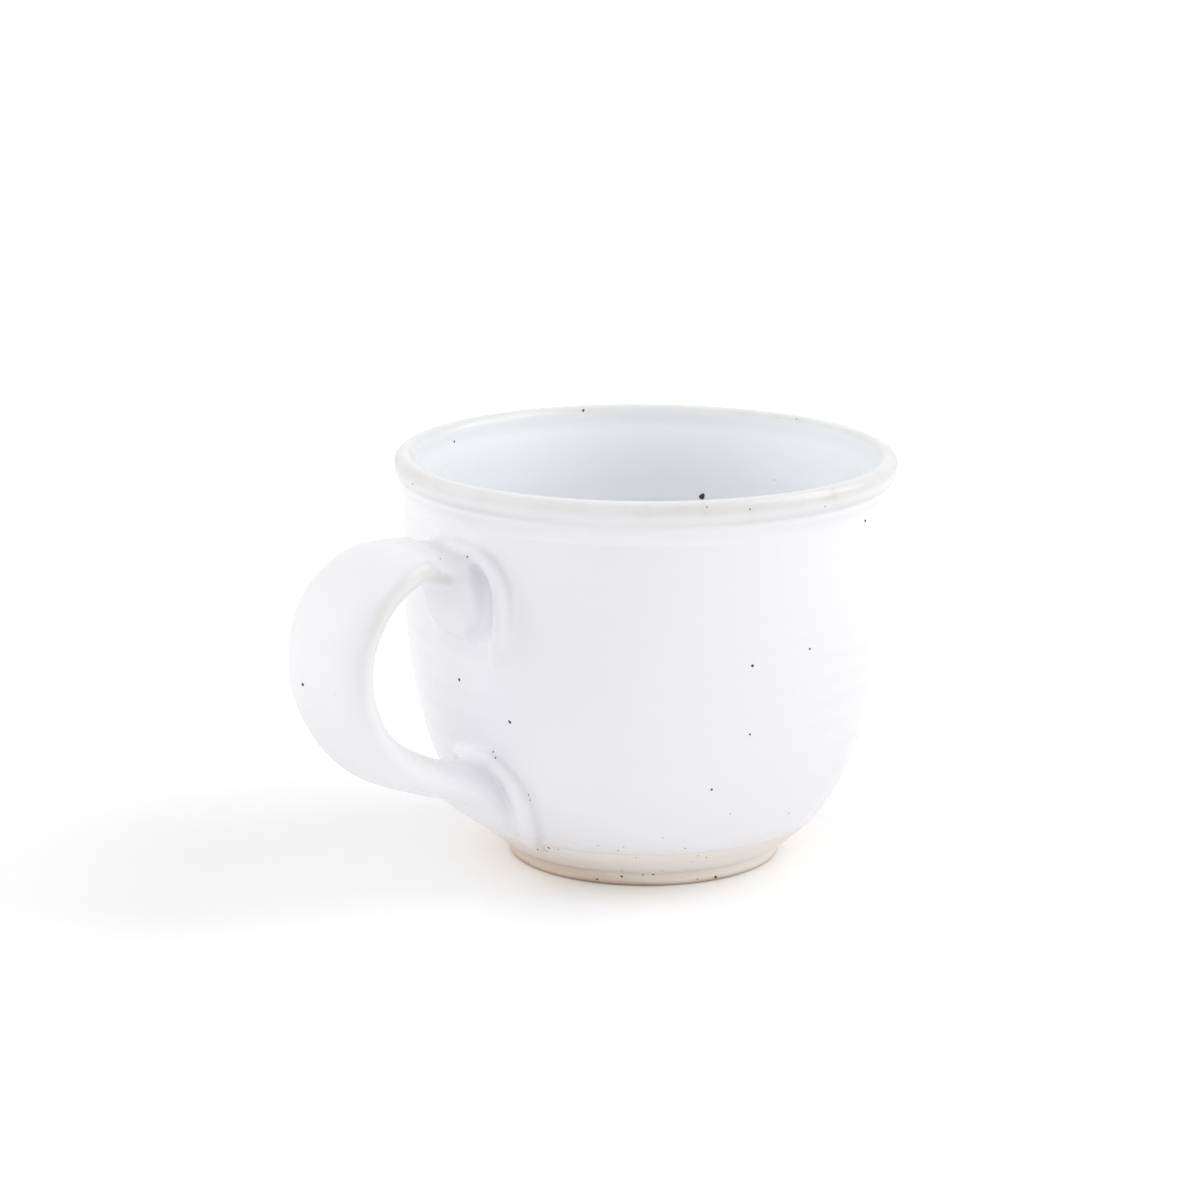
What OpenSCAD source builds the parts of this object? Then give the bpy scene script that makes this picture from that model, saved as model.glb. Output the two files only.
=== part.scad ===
// Wheel-thrown stoneware mug with a pulled strap handle, standing on a bare trimmed foot ring.
// All sizes are millimetres. The cup's axis is Z, the table is z = 0 and the handle points along -X.
// Every radius and height of the wall is that of the glazed surface; the clay lies one coat below it.

/* [Cup] */
// Outer diameter of the rim
rim_d = 100; // [84:1:120]
// Height of the rim above the table
cup_h = 82; // [76:1:110]
// Thickness of the thrown wall, glaze included
wall_t = 4.1; // [3:0.1:6]
// Thickness of the clay floor
floor_t = 5; // [3.5:0.1:8]

/* [Lip] */
// Thickness of the rounded lip
lip_t = 3.5; // [2.6:0.1:5]
// How far the lip stands out past the wall below it
lip_overhang = 1.6; // [0.6:0.1:3]
// Height over which the lip blends into the wall
lip_h = 8.7; // [6:0.1:12]

/* [Foot] */
// Outer diameter of the foot ring
foot_d = 54.6; // [46:0.2:66]
// Height of the foot ring
foot_h = 2.6; // [1.6:0.1:4]
// Width of the foot ring's standing face and its rounded edges
foot_w = 5; // [3.5:0.1:8]
// Radius of the foot ring's bottom edges
foot_round = 0.9; // [0.4:0.1:1.2]
// Depth of the fine groove trimmed between the foot ring and the wall
groove_d = 0.5; // [0.2:0.1:0.9]

/* [Glaze] */
// Thickness of the glaze coats
glaze_t = 0.4; // [0.2:0.05:0.7]
// Height above the table at which the outer glaze stops and bare clay shows
glaze_line_h = 8.2; // [6:0.1:8.4]

/* [Handle] */
// Thickness of the strap along its free stretch
strap_t = 6.4; // [5:0.1:9]
// Width of the strap along its free stretch
strap_w = 21.6; // [16:0.2:26]
// Widest gap between the wall and the inside of the strap
finger_gap = 29.4; // [24:0.2:36]
// How far the top of the strap lies below the rim
handle_drop = 9.7; // [7:0.1:14]
// Height of the strap's centre line above the table, where its tail begins
strap_low_h = 28; // [26:0.2:32]

/* [Handle roots] */
// Height of the upper root on the wall
upper_root_h = 19; // [14:0.2:22]
// Width of the upper root on the wall
upper_root_w = 26; // [22:0.2:30]
// How far the strap's top dips as it meets the wall
root_dip = 1.3; // [0.5:0.1:3]
// Height of the lower root on the wall
lower_root_h = 17.6; // [13:0.2:17.8]
// Width of the lower root on the wall
lower_root_w = 18.8; // [15:0.2:24]
// How far the lower root's top lies below the strap's centre line
tail_dip = 1.5; // [0:0.1:3]

/* [Hidden] */

clay_color = [0.79, 0.72, 0.65];
slip_color = [0.74, 0.66, 0.58];
glaze_color = [0.93, 0.925, 0.945];
revolve_sides = 96;

// Radii and heights that follow from the driving sizes
rim_r = rim_d/2;
belly_r = rim_r - lip_overhang;
bead_r = lip_t/2;
bead_z = cup_h - bead_r;
lip_low_z = cup_h - lip_h;
foot_r = foot_d/2;
floor_z = foot_h + floor_t + glaze_t;
overrun = 2*wall_t;

// Shares along the outer wall from the foot, 0, to the lip, 1: [height, radius]
wall_shares = [[0, 0], [0.014, 0.09], [0.048, 0.223], [0.09, 0.37], [0.146, 0.498], [0.216, 0.63],
               [0.30, 0.749], [0.40, 0.845], [0.53, 0.929], [0.67, 0.981], [0.81, 1], [0.92, 0.995],
               [1, 0.988]];
// Shares along the lip from the wall, 0, to the rounded edge, 1, with its faint groove at 0.6
lip_shares = [[0.22, 0.16], [0.42, 0.42], [0.52, 0.53], [0.60, 0.56], [0.70, 0.78], [0.85, 0.97]];
// Shares down the inside from the lip, 1, to the middle of the floor, 0: [height, radius]
inner_shares = [[1, 0.998], [0.79, 1], [0.64, 0.991], [0.485, 0.971], [0.333, 0.939], [0.22, 0.889],
                [0.129, 0.813], [0.061, 0.70], [0.018, 0.542], [0.0015, 0.316], [0, 0.12], [0, 0]];
wall_steps = 3;
bead_step = 22.5;

// Uniform Catmull-Rom curve through a list of equal vectors
function blend(a, b, c, d, t) =
    (2*b + (c - a)*t + (2*a - 5*b + 4*c - d)*t*t + (3*b - a - 3*c + d)*t*t*t)/2;
function before(p, i) = i > 0 ? p[i - 1] : 2*p[0] - p[1];
function after(p, i) = i + 2 < len(p) ? p[i + 2] : 2*p[i + 1] - p[i];
function curve(p, steps) = concat(
    [for (i = [0:len(p) - 2], k = [0:steps - 1]) blend(before(p, i), p[i], p[i + 1], after(p, i), k/steps)],
    [p[len(p) - 1]]);

function between(a, b, share) = a + (b - a)*share;
function unit(v) = v/norm(v);
function reversed(p) = [for (i = [len(p) - 1:-1:0]) p[i]];

// The glazed outer wall from the foot up to the lip, as [radius, height]
wall_curve = curve([for (s = wall_shares) [between(foot_r, belly_r, s[1]), between(foot_h, lip_low_z, s[0])]],
                   wall_steps);
wall_top = wall_curve[len(wall_curve) - 1];
radius_at = [for (p = wall_curve) [p[1], p[0]]];
function wall_r(z) = lookup(z, radius_at);

// The same wall with a point set at the glaze line, and the lip and the inside after it
same_point = glaze_t/2;
bare_wall = [for (p = wall_curve) if (p[1] < glaze_line_h - same_point) p];
glazed_wall = [for (p = wall_curve) if (p[1] > glaze_line_h + same_point) p];
lip_side = [for (s = lip_shares) [between(wall_top[0], rim_r, s[1]), between(lip_low_z, bead_z, s[0])]];
bead = [for (a = [0:bead_step:180]) [rim_r - bead_r + bead_r*cos(a), bead_z + bead_r*sin(a)]];
inside = [for (p = curve([for (s = inner_shares)
    [(belly_r - wall_t)*s[1], between(floor_z, lip_low_z, s[0])]], wall_steps)) [max(p[0], 0), p[1]]];
skin = concat(bare_wall, [[wall_r(glaze_line_h), glaze_line_h]], glazed_wall, lip_side, bead, inside);
line_at = len(bare_wall);
crown_at = line_at + len(glazed_wall) + len(lip_side) + ceil(len(bead)/2);

// The clay under the skin, one coat of glaze below it
function along(p, i) = unit(p[min(i + 1, len(p) - 1)] - p[max(i - 1, 0)]);
clay = [for (i = [0:len(skin) - 1]) let (p = skin[i] + glaze_t*[-along(skin, i)[1], along(skin, i)[0]])
    [max(p[0], 0), p[1]]];

// A coat of glaze over the stretch of skin between two of its points
function part_of(p, first, last) = [for (i = [first:last]) p[i]];
function coat(first, last) = concat(part_of(skin, first, last), reversed(part_of(clay, first, last)));

module revolved(outline) {
    rotate_extrude($fn = revolve_sides) polygon(outline);
}

// Thrown cup: wall, rolled lip and floor in one piece of clay
module cup_body() {
    color(clay_color)
    revolved(concat([[0, foot_h], [foot_r - groove_d, foot_h]], part_of(clay, 1, len(clay) - 1)));
}

// Trimmed ring of bare clay that the cup stands on, hollow underneath
function quarter(centre_r, start) = [for (a = [start:30:start + 90])
    [centre_r + foot_round*cos(a), foot_round + foot_round*sin(a)]];
module foot_ring() {
    color(clay_color)
    revolved(concat([[foot_r, foot_h], [foot_r - foot_w, foot_h]],
                    quarter(foot_r - foot_w + foot_round, 180),
                    quarter(foot_r - foot_round, 270)));
}

// Roots of the handle on the wall: top and bottom heights
upper_root_top = cup_h - handle_drop - root_dip;
upper_root_low = upper_root_top - upper_root_h;
lower_root_top = strap_low_h - tail_dip;
lower_root_low = lower_root_top - lower_root_h;

// Centre line of the free strap, as shares of its reach and of its rise: [out, up]
path_shares = [[0.40, 1], [0.645, 0.985], [0.875, 0.86], [1, 0.67], [0.997, 0.455], [0.87, 0.243],
               [0.675, 0.092], [0.44, 0]];
// Thickness and width of the strap at those places, as shares of its own sizes
thick_shares = [1, 1, 1.02, 1, 1, 1.06, 1.22, 1.1];
width_shares = [0.955, 0.99, 1.02, 1.01, 1, 0.985, 0.98, 0.96];
// Flares between each root, 0, and the strap, 1: [outer out, outer up, inner out, inner up, width, bow]
upper_flare_shares = [[0.49, 0.56, 0.33, 0.66, 0.45, 0.4]];
lower_flare_shares = [[0.57, 0.70, 0.64, 0.40, 0.75, 0.6], [0.275, 0.29, 0.33, 0.12, 0.4, 0.3]];

path_reach = finger_gap + strap_t/2;
path_top_z = cup_h - handle_drop - strap_t/2;
path = [for (s = path_shares) [belly_r + path_reach*s[0], between(strap_low_h, path_top_z, s[1])]];

// One row of the strap: outer face [out, up], inner face [out, up], half width and bow
function outward(i) = [-along(path, i)[1], along(path, i)[0]];
function strap_row(i) = let (half = outward(i)*strap_t*thick_shares[i]/2)
    concat(path[i] + half, path[i] - half, [strap_w*width_shares[i]/2, 0]);
function root_row(top, low, width) = concat([wall_r(top), top], [wall_r(low), low],
    [width/2, wall_r((top + low)/2) - (wall_r(top) + wall_r(low))/2]);
function flare(root, strap, s) = [for (k = [0:len(s) - 1])
    k < len(s) - 1 ? between(root[k], strap[k], s[k]) : root[k]*s[k]];
function swapped(row) = [row[2], row[3], row[0], row[1], row[4], row[5]];

upper_root = root_row(upper_root_top, upper_root_low, upper_root_w);
lower_root = swapped(root_row(lower_root_top, lower_root_low, lower_root_w));
strap_rows = [for (i = [0:len(path) - 1]) strap_row(i)];
strap_end = strap_rows[len(strap_rows) - 1];
row_steps = 4;
rows = curve(concat([upper_root], [for (s = upper_flare_shares) flare(upper_root, strap_rows[0], s)],
                    strap_rows, [for (s = lower_flare_shares) flare(lower_root, strap_end, s)],
                    [lower_root]), row_steps);
last_row = len(rows) - 1;

// Rounded cross-section, as a superellipse of 28 points
sides = 28;
round_power = 2.4;
function rounded(x) = sign(x)*pow(abs(x), 2/round_power);
section = [for (j = [0:sides - 1]) [rounded(cos(360*j/sides)), rounded(sin(360*j/sides))]];

// A point of a row at a place on the section, with the strap grown by a coat of glaze
function half_of(row) = [row[0] - row[2], row[1] - row[3]]/2;
function grown(row, grow) = half_of(row)*(1 + grow/norm(half_of(row)));
function free_point(row, uv, grow) = let (half = grown(row, grow))
    [-((row[0] + row[2])/2 + half[0]*uv[1] + row[5]*(1 - uv[1]*uv[1])),
     (row[4] + grow)*uv[0],
     (row[1] + row[3])/2 + half[1]*uv[1]];
function on_wall(y, z) = [-sqrt(wall_r(z)*wall_r(z) - y*y), y, z];
function root_point(row, uv, grow, inset) =
    on_wall(inset*(row[4] + grow)*uv[0], (row[1] + row[3])/2 + inset*grown(row, grow)[1]*uv[1]);
function ring(i, grow) = [for (uv = section)
    i == 0 || i == last_row ? root_point(rows[i], uv, grow, 1) : free_point(rows[i], uv, grow)];

// Faces between two rings of points that start at the numbers a and b
function band(a, b) = [for (j = [0:sides - 1], t = [0, 1])
    let (n = (j + 1) % sides) t == 0 ? [a + j, a + n, b + j] : [a + n, b + n, b + j]];
function bands(first, count) = [for (i = [0:count - 1], f = band(first + i*sides, first + (i + 1)*sides)) f];
function flipped(faces) = [for (f = faces) reversed(f)];

// End face of the strap, laid on the wall in rings that shrink to one middle point
cap_insets = [0.8, 0.6, 0.4, 0.2];
function cap_points(row) = concat(
    [for (inset = cap_insets, uv = section) root_point(row, uv, 0, inset)],
    [on_wall(0, (row[1] + row[3])/2)]);
function fan(ring_at, middle) = [for (j = [0:sides - 1]) [ring_at + j, ring_at + (j + 1) % sides, middle]];
function cap_faces(rim_at, cap_at) = concat(band(rim_at, cap_at), bands(cap_at, len(cap_insets) - 1),
    fan(cap_at + (len(cap_insets) - 1)*sides, cap_at + len(cap_insets)*sides));

// Pulled strap of clay, pressed on the wall at both ends
module handle_strap() {
    body_points = [for (i = [0:last_row], p = ring(i, 0)) p];
    end_at = last_row*sides;
    first_cap_at = len(body_points);
    last_cap_at = first_cap_at + len(cap_insets)*sides + 1;
    color(clay_color)
    polyhedron(points = concat(body_points, cap_points(rows[0]), cap_points(rows[last_row])),
               faces = concat(bands(0, last_row), flipped(cap_faces(0, first_cap_at)),
                              cap_faces(end_at, last_cap_at)));
}

// Coat of glaze round the strap, open where the strap meets the wall
module handle_glaze() {
    outer_points = [for (i = [0:last_row], p = ring(i, glaze_t)) p];
    inner_points = [for (i = [0:last_row], p = ring(i, 0)) p];
    inner_at = len(outer_points);
    end_at = last_row*sides;
    color(glaze_color)
    polyhedron(points = concat(outer_points, inner_points),
               faces = concat(bands(0, last_row), flipped(bands(inner_at, last_row)),
                              flipped(band(0, inner_at)), band(end_at, inner_at + end_at)));
}

// Prism through the wall with the outline of one of the handle's roots
module root_window(row) {
    outline = [for (uv = section) [row[4]*uv[0], (row[1] + row[3])/2 + half_of(row)[1]*uv[1]]];
    translate([-belly_r - overrun, 0, 0])
    rotate([90, 0, 90])
    linear_extrude(height = belly_r) polygon(outline);
}

// Layer of slip between the wall and one of the handle's roots, as thick as the coat that it interrupts
module slip_layer(row) {
    color(slip_color)
    intersection() {
        revolved(coat(1, crown_at));
        root_window(row);
    }
}
module upper_slip_joint() {
    slip_layer(rows[0]);
}
module lower_slip_joint() {
    slip_layer(rows[last_row]);
}

// Glaze inside the cup, from the crown of the lip to the middle of the floor
module inner_glaze() {
    color(glaze_color) revolved(coat(crown_at, len(skin) - 1));
}

// Glaze outside the cup, from the crown of the lip to the glaze line, with a window for each root
module outer_glaze() {
    color(glaze_color)
    difference() {
        revolved(coat(line_at, crown_at));
        root_window(rows[0]);
        root_window(rows[last_row]);
    }
}

cup_body();
foot_ring();
handle_strap();
upper_slip_joint();
lower_slip_joint();
inner_glaze();
outer_glaze();
handle_glaze();
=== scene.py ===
import math

import bpy
import numpy as np
from mathutils import Matrix, Vector
from mathutils.bvhtree import BVHTree


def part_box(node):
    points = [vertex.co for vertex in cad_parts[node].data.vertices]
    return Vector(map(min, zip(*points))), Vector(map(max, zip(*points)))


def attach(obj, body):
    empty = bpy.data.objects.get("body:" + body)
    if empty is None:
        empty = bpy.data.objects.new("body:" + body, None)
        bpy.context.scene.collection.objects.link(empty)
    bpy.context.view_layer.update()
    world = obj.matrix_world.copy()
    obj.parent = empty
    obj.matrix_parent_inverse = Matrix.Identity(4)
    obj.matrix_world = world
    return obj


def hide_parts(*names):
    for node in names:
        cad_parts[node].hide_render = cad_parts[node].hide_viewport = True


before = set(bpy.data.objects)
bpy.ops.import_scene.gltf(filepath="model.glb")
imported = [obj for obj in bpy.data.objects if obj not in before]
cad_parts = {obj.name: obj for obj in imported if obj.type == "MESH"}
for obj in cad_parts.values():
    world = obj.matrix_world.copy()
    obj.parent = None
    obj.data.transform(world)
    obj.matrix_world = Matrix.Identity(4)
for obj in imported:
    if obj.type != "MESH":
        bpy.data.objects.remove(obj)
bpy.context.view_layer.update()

# A wheel-thrown stoneware mug under a white glaze. The mug stands on z = 0 round the Z axis and its
# handle points along -X. Sizes are millimetres until a mesh or a place is given to Blender in metres.
MM = 0.001


def span(node):
    """Lowest and highest corner of a CAD node, in millimetres."""
    low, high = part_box(node)
    return np.array(low)/MM, np.array(high)/MM


# Sizes read from the frame
outer_low, outer_high = span("outer_glaze")
rim_r, cup_h = outer_high[1], outer_high[2]
line_z = outer_low[2]
foot_r, foot_h = span("foot_ring")[1][1:]
strap_low = span("handle_strap")[0]
root_boxes = {"upper": span("upper_slip_joint"), "lower": span("lower_slip_joint")}

# Sizes of the cup that the frame's boxes don't show
glaze_t = 0.4
wall_t = 4.1
lip_t = 4.0
lip_h = 8.7
lip_overhang = 1.6
floor_t = 5.0
foot_w = 5.0
foot_round = 0.9

# Sizes of the handle
strap_t = 6.4
strap_w = 21.6
finger_gap = 29.4
handle_drop = 9.7
strap_low_z = 28.0

belly_r = rim_r - lip_overhang
bead_r = lip_t/2
bead_z = cup_h - bead_r
lip_low_z = cup_h - lip_h
floor_z = foot_h + floor_t + glaze_t


def between(a, b, share):
    return a + (b - a)*share


def curve(points, steps=7):
    """Catmull-Rom curve through rows of numbers, in so many steps from row to row."""
    p = np.asarray(points, float)
    p = np.vstack([2*p[0] - p[1], p, 2*p[-1] - p[-2]])
    t = np.arange(steps)[:, None]/steps
    spans = [(2*b + (c - a)*t + (2*a - 5*b + 4*c - d)*t**2 + (3*b - a - 3*c + d)*t**3)/2
             for a, b, c, d in zip(p, p[1:], p[2:], p[3:])]
    return np.vstack(spans + [p[-2]])


def left_of(line):
    """Unit vectors to the left of a line of flat points."""
    along = np.gradient(line, axis=0)
    along /= np.linalg.norm(along, axis=1)[:, None]
    return np.stack([-along[:, 1], along[:, 0]], 1)


# The cup's outline

# Shares along the outer wall from the foot, 0, to the lip, 1: height, radius
wall_shares = [[0, 0], [0.014, 0.09], [0.048, 0.223], [0.09, 0.37], [0.146, 0.498], [0.216, 0.63],
               [0.3, 0.749], [0.4, 0.845], [0.53, 0.929], [0.67, 0.981], [0.81, 1], [0.92, 0.995],
               [1, 0.988]]
# Shares along the lip from the wall, 0, to the rounded edge, 1: height, radius
lip_shares = [[0.2, 0.16], [0.38, 0.41], [0.48, 0.49], [0.56, 0.44], [0.64, 0.66], [0.75, 0.9],
              [0.88, 0.99]]
# Shares down the inside from the lip, 1, to the middle of the floor, 0: height, radius
inner_shares = [[1.075, 1.036], [1.045, 1.026], [1.01, 1.016], [0.96, 1.007], [0.9, 1.002], [0.84, 1],
                [0.79, 1], [0.64, 0.991], [0.485, 0.971], [0.333, 0.939], [0.22, 0.889], [0.129, 0.813],
                [0.061, 0.7], [0.018, 0.542], [0.0015, 0.316], [0, 0.12], [0, 0]]
# How far the bead on the lip turns, and its steps, in degrees
bead_end, bead_step = 168, 6

wall = curve([[between(foot_r, belly_r, r), between(foot_h, lip_low_z, z)] for z, r in wall_shares])
lip_side = curve([wall[-1]] + [[between(wall[-1][0], rim_r, r), between(lip_low_z, bead_z, z)]
                               for z, r in lip_shares] + [[rim_r, bead_z]])
bead_turn = np.radians(np.arange(bead_step, bead_end + 1, bead_step))[:, None]
bead = [rim_r - bead_r, bead_z] + bead_r*np.hstack([np.cos(bead_turn), np.sin(bead_turn)])
inside = curve([bead[-1]] + [[(belly_r - wall_t)*r, between(floor_z, lip_low_z, z)]
                             for z, r in inner_shares])[1:]
inside[:, 0] = np.maximum(inside[:, 0], 0)


def wall_r(z):
    """Radius of the glazed outer wall at a height."""
    return np.interp(z, wall[:, 1], wall[:, 0])


ripple_gain = 1.4


def ripple(turn, seed, lowest=2, highest=9):
    """A closed wavy line round the mug, between about -1 and 1, for angles in radians."""
    random = np.random.default_rng(seed)
    waves = range(lowest, highest + 1)
    total = sum(np.cos(n*turn + random.uniform(0, math.tau))*random.uniform(0.5, 1)/math.sqrt(n)
                for n in waves)
    return total/sum(0.75/math.sqrt(n) for n in waves)*ripple_gain


def circle(count, start=0.0):
    """Angles of so many points round a circle."""
    return np.linspace(start, start + math.tau, count, endpoint=False)


def fade_in(value, ends):
    """0 below the first end and 1 above the second."""
    return np.clip((value - ends[0])/(ends[1] - ends[0]), 0, 1)


def at_turn(r, turn, z):
    """Points at a radius, an angle from the handle and a height."""
    return np.stack(np.broadcast_arrays(-r*np.cos(turn), -r*np.sin(turn), z), -1)


def on_cylinder(points):
    """Radius, angle from the handle and height of points."""
    x, y, z = points.T
    return np.hypot(x, y), np.arctan2(-y, -x), z


# Faces between rings of points that follow each other in one list. Turned faces look the other way.

def ring_pairs(around, turned):
    """Each point of a ring with the next one."""
    near = np.arange(around)
    far = (near + 1) % around
    return list(zip(far, near) if turned else zip(near, far))


def ring_quads(count, around, turned=False, looped=False):
    starts = around*np.arange(count)
    steps = list(zip(starts, np.roll(starts, -1)))[:count if looped else count - 1]
    return [(a + i, b + i, b + j, a + j) for i, j in steps for a, b in ring_pairs(around, turned)]


def ring_fan(start, around, hub, turned=False):
    return [(b + start, a + start, hub) for a, b in ring_pairs(around, turned)]


def capped_rings(count, around, turned=False):
    """Quads between rings, and a fan from each end ring to one of the two points after them."""
    last = count*around
    return (ring_quads(count, around, turned) + ring_fan(0, around, last, turned)
            + ring_fan(last - around, around, last + 1, not turned))


# Distance fields, negative inside the clay or glaze

def soft_min(a, b, reach):
    """The smaller of two distances, with the corner between them rounded over a reach."""
    near = np.maximum(reach - abs(a - b), 0)/reach
    return np.minimum(a, b) - near**2*reach/4


def soft_max(a, b, reach):
    return -soft_min(-a, -b, reach)


def outline_distance(points, outline):
    """Signed distance from flat points to a closed outline."""
    nearest = np.full(len(points), np.inf)
    is_inside = np.zeros(len(points), bool)
    for p, q in zip(outline, np.roll(outline, -1, axis=0)):
        edge = q - p
        along = np.clip((points - p) @ edge/(edge @ edge), 0, 1)
        nearest = np.minimum(nearest, np.linalg.norm(points - p - along[:, None]*edge, axis=1))
        if p[1] != q[1]:
            crossing = (p[1] > points[:, 1]) != (q[1] > points[:, 1])
            is_inside ^= crossing & (points[:, 0] < p[0] + (points[:, 1] - p[1])*edge[0]/edge[1])
    return np.where(is_inside, -nearest, nearest)


chain_reach = 5.0


def chain_distance(points, chain):
    """Distance, up to a reach, to a chain of spheres joined by cones: rows of x, y, z and radius."""
    reach = chain_reach + chain[:, 3].max()
    is_near = ((points > chain[:, :3].min(0) - reach) & (points < chain[:, :3].max(0) + reach)).all(1)
    points = points[is_near]
    nearest = np.full(len(points), chain_reach)
    for a, b in zip(chain, chain[1:]):
        edge = b[:3] - a[:3]
        along = np.clip((points - a[:3]) @ edge/(edge @ edge), 0, 1)
        off = np.linalg.norm(points - a[:3] - along[:, None]*edge, axis=1)
        nearest = np.minimum(nearest, off - between(a[3], b[3], along))
    distance = np.full(len(is_near), chain_reach)
    distance[is_near] = nearest
    return distance


class Table:
    """Values of a function of two numbers on a fine grid, read back as a smooth cubic surface."""

    def __init__(self, function, low, high, step):
        self.low, self.step = np.array(low, float), step
        self.size = np.ceil((np.array(high) - low)/step).astype(int) + 1
        u, v = np.meshgrid(*[a + step*np.arange(n) for a, n in zip(low, self.size)], indexing="ij")
        self.values = function(np.stack([u.ravel(), v.ravel()], 1)).reshape(self.size)

    def read(self, u, v):
        spot = (np.stack([u, v]) - self.low[:, None])/self.step
        spot = np.clip(spot, 1, self.size[:, None] - 2.001)
        cell = spot.astype(int)
        (wu, wv), total = self.weights(spot - cell), 0
        for i in range(4):
            for j in range(4):
                total = total + wu[i]*wv[j]*self.values[cell[0] + i - 1, cell[1] + j - 1]
        return total

    @staticmethod
    def weights(shares):
        return [((-t + 2*t**2 - t**3)/2, (2 - 5*t**2 + 3*t**3)/2, (t + 4*t**2 - 3*t**3)/2, (t**3 - t**2)/2)
                for t in shares]


# The glazed cup: its outline is closed a little below the glazed floor, inside the clay
hidden_depth = 0.8
low_z = floor_z - hidden_depth
glazed_outline = np.vstack([[[wall_r(low_z), low_z]], wall[wall[:, 1] > low_z], lip_side[1:], bead, inside,
                            [[0, low_z]]])
table_step = 0.25
cup_table_low = [-2, 2]
cup_table_high = [rim_r + 8, cup_h + 4]
cup_table = Table(lambda p: outline_distance(np.abs(p), glazed_outline), cup_table_low, cup_table_high,
                  table_step)

# Where the outer glaze stops, and how uneven a hand-thrown wall is
line_lift = 0.55
line_wave = 0.35
line_round = 0.35
line_depth = 1.2
wobble = 0.16
wobble_lean = 90
wobble_heights = (20, 50)
ring_pitch = 5.2
ring_depth = 0.035
ring_drift = 1.5
ring_drift_pitch = 7.3
ring_heights = (16, 28)
ring_end_reach = 6


def glaze_line(turn):
    """Height at which the outer glaze stops, round the mug."""
    return line_z + line_lift + line_wave*ripple(turn, seed=11, highest=14)


def cup_distance(r, turn, z):
    d = cup_table.read(r, z)
    d = d + wobble*(0.5 + 0.5*ripple(turn + z/wobble_lean, seed=5, highest=5))*fade_in(z, wobble_heights)
    rings = np.sin(math.tau*(z/ring_pitch + turn/math.tau) + ring_drift*np.sin(z/ring_drift_pitch))
    d = d + ring_depth*(1 + rings)*fade_in(z, ring_heights)*fade_in(lip_low_z - z, (0, ring_end_reach))
    line = glaze_line(turn)
    slope = np.array([wall_r(line_z + 1) - wall_r(line_z - 1), 2])
    up_r, up_z = slope/np.linalg.norm(slope)
    out, up = r - wall_r(line), z - line
    below = -(out*up_r + up*up_z)
    depth = out*up_z - up*up_r + line_depth
    return soft_max(d, np.minimum(below, depth), line_round)


# The handle

# The free strap: its centre line as shares of its reach and its rise, then its thickness and width as
# shares of its own sizes
strap_shares = [[0.4, 1, 1, 0.955], [0.645, 0.985, 1, 0.99], [0.875, 0.86, 1.02, 1.02], [1, 0.67, 1, 1.01],
                [0.997, 0.455, 1, 1], [0.87, 0.243, 1.06, 0.985], [0.675, 0.092, 1.22, 0.98],
                [0.44, 0, 1.1, 0.96]]
# Flares between each root, 0, and the strap, 1: outer out, outer up, inner out, inner up, width, bow
upper_flare_shares = [[0.49, 0.56, 0.33, 0.66, 0.45, 0.4]]
lower_flare_shares = [[0.57, 0.7, 0.64, 0.4, 0.75, 0.6], [0.275, 0.29, 0.33, 0.12, 0.4, 0.3]]
section_power = 2.4
# The strap itself is narrower on the wall than its root, whose edge is the rolled ridge
root_shares = {"upper": 0.84, "lower": 0.61}
sides = 72
sunk = 1.6


def root_row(name):
    """A root on the wall as a row: top out and up, bottom out and up, half width and bow."""
    low, high = root_boxes[name]
    top, bottom = high[2], low[2]
    bow = wall_r((top + bottom)/2) - (wall_r(top) + wall_r(bottom))/2
    return np.array([wall_r(top), top, wall_r(bottom), bottom, high[1]*root_shares[name], bow])


def strap_rows():
    """Rows along the strap from the upper root to the lower one, outer face first."""
    out, up, thick, wide = np.array(strap_shares).T
    reach, top_z = finger_gap + strap_t/2, cup_h - handle_drop - strap_t/2
    path = np.stack([belly_r + reach*out, between(strap_low_z, top_z, up)], 1)
    half = left_of(path)*strap_t*thick[:, None]/2
    width = strap_w*wide[:, None]/2
    strap = np.hstack([path + half, path - half, width, 0*width])
    upper, lower = root_row("upper"), root_row("lower")[[2, 3, 0, 1, 4, 5]]
    ends = [[np.where(np.arange(6) < 5, between(root, near, np.array(s)), root*s) for s in shares]
            for root, near, shares in ((upper, strap[0], upper_flare_shares),
                                       (lower, strap[-1], lower_flare_shares))]
    return curve(np.vstack([[upper], ends[0], strap, ends[1], [lower]]))


def strap_points(grow, keep=1.0):
    """Rings round the strap, grown by a coat or kept to a share of its section: rows by sides by 3."""
    angle = circle(sides)
    across, through = [np.sign(c)*abs(c)**(2/section_power) for c in (np.cos(angle), np.sin(angle))]
    rings = []
    rows = strap_rows()
    for i, row in enumerate(rows):
        half = (row[:2] - row[2:4])/2
        half = half*(1 + grow/np.linalg.norm(half))*keep
        middle = (row[:2] + row[2:4])/2
        y = (row[4] + grow)*keep*across
        out = middle[0] + half[0]*through + row[5]*(1 - through**2)
        z = middle[1] + half[1]*through
        if i in (0, len(rows) - 1):
            out = np.sqrt(wall_r(z)**2 - y**2) - sunk
        rings.append(np.stack([-out, y, z], 1))
    return np.array(rings)


def tube_mesh(rings):
    """Points and faces of a closed tube through rings of points, with a flat fan at each end."""
    points = np.vstack([rings.reshape(-1, 3), rings[0].mean(0), rings[-1].mean(0)])
    return points, capped_rings(*rings.shape[:2], turned=True)


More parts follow.
